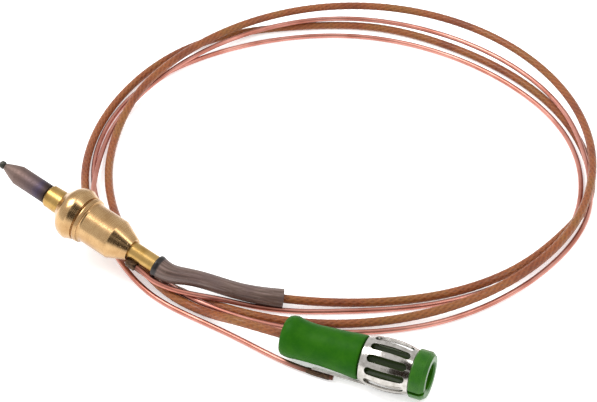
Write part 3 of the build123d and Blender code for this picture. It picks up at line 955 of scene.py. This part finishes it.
# ------------------------------------------------------------------ stage
TARGET = Vector((23.94, 36.75, -9.2)) * MM
BACK = Vector((0.4220, -0.6257, 0.6561)).normalized()
VIEW_DISTANCE = 350.0
LENS = 102.36
SENSOR = 36.0
CARD_SIDE = Vector((0.59, -0.52, 0.61)).normalized()   # from the brass body to the dark card
CARD_DISTANCE = 400.0
CARD_HALF = 300.0         # half the card's width
CARD_HEIGHT = 125.0       # half its height
CARD_SLIT = 17.0          # half the slit's width


def paper():
    """White paper that glows a little of itself, so that shadows stay faint."""
    material = bpy.data.materials.new("paper")
    material.use_nodes = True
    skin = material.node_tree.nodes["Principled BSDF"]
    skin.inputs["Base Color"].default_value = (0.93, 0.93, 0.93, 1.0)
    skin.inputs["Roughness"].default_value = 0.9
    skin.inputs["Specular IOR Level"].default_value = 0.1
    skin.inputs["Emission Color"].default_value = (1.0, 1.0, 1.0, 1.0)
    skin.inputs["Emission Strength"].default_value = 0.45
    return material


def plate(name, centre, across, over, material):
    """Flat rectangle given by its centre and its two half sides, as vectors in metres."""
    corners = [centre + across * a + over * b for a, b in ((-1, -1), (1, -1), (1, 1), (-1, 1))]
    mesh = bpy.data.meshes.new(name)
    mesh.from_pydata([tuple(corner) for corner in corners], [], [(0, 1, 2, 3)])
    mesh.materials.append(material)
    obj = bpy.data.objects.new(name, mesh)
    bpy.context.scene.collection.objects.link(obj)
    return obj


def softbox(name, place, aim, size, power):
    """Rectangular area light aimed at a point."""
    data = bpy.data.lights.new(name, "AREA")
    data.shape = "RECTANGLE"
    data.size, data.size_y = size[0] * MM, size[1] * MM
    data.energy = power
    obj = bpy.data.objects.new(name, data)
    obj.location = place
    obj.rotation_mode = "QUATERNION"
    obj.rotation_quaternion = (Vector(aim) - Vector(place)).to_track_quat("-Z", "Y")
    bpy.context.scene.collection.objects.link(obj)
    return obj


def dark_card():
    """Dark card that only reflections see, in two halves with a bright slit between.  It
    gives the two brass cones their dark band with a thin bright line in it."""
    material = bpy.data.materials.new("black_card")
    material.use_nodes = True
    nodes = material.node_tree.nodes
    nodes.clear()
    output = nodes.new("ShaderNodeOutputMaterial")
    glow = nodes.new("ShaderNodeEmission")
    glow.inputs["Color"].default_value = (0.03, 0.02, 0.012, 1.0)
    material.node_tree.links.new(glow.outputs[0], output.inputs[0])
    across = BODY.along.cross(CARD_SIDE).normalized()
    over = CARD_SIDE.cross(across).normalized()
    middle = BODY.origin + CARD_SIDE * CARD_DISTANCE * MM
    spans = (("card_left", -CARD_HALF, -CARD_SLIT), ("card_right", CARD_SLIT, CARD_HALF))
    for name, start, finish in spans:
        half = plate(name, middle + across * (start + finish) / 2 * MM,
                     across * (finish - start) / 2 * MM, over * CARD_HEIGHT * MM, material)
        half.visible_camera = False
        half.visible_diffuse = False
        half.visible_shadow = False
        half.visible_transmission = False


def set_stage():
    """Floor, lights, reflections and the camera."""
    plate("floor", Vector((TARGET.x, TARGET.y, cad_low.z - 0.02 * MM)), Vector((3, 0, 0)),
          Vector((0, 3, 0)), paper())
    world = bpy.data.worlds.new("studio")
    world.use_nodes = True
    world.node_tree.nodes["Background"].inputs["Color"].default_value = (1.0, 1.0, 1.0, 1.0)
    world.node_tree.nodes["Background"].inputs["Strength"].default_value = 0.9
    bpy.context.scene.world = world
    right = BACK.cross(Vector((0, 0, -1))).normalized()
    away = Vector((-BACK.x, -BACK.y, 0)).normalized()
    softbox("key", TARGET + (-right * 260 + away * 60 + Vector((0, 0, 420))) * MM, TARGET,
            (220, 220), 1.5)
    softbox("strip", TARGET + (right * 240 - away * 120 + Vector((0, 0, 380))) * MM, TARGET,
            (60, 260), 0.35)
    dark_card()
    camera = bpy.data.objects.new("camera", bpy.data.cameras.new("camera"))
    camera.data.lens, camera.data.sensor_width = LENS, SENSOR
    camera.data.clip_start, camera.data.clip_end = 0.01, 20.0
    camera.location = TARGET + BACK * VIEW_DISTANCE * MM
    camera.rotation_mode = "QUATERNION"
    camera.rotation_quaternion = BACK.to_track_quat("Z", "Y")
    bpy.context.scene.collection.objects.link(camera)
    bpy.context.scene.camera = camera
    bpy.context.scene.view_settings.view_transform = "Standard"


# ------------------------------------------------------------------ build
lead = full_line("lead_core", CORE_R, CORE_R + 0.1)
wire = full_line("return_wire", WIRE_R, TAIL_R + 2 * WIRE_R + 0.05)
braided_lead(lead)
core_strands(lead)
copper_return(wire)
grey_sleeving(lead)
soft_boot()
weld_bead()
hard_parts(clamps(wire))
set_stage()
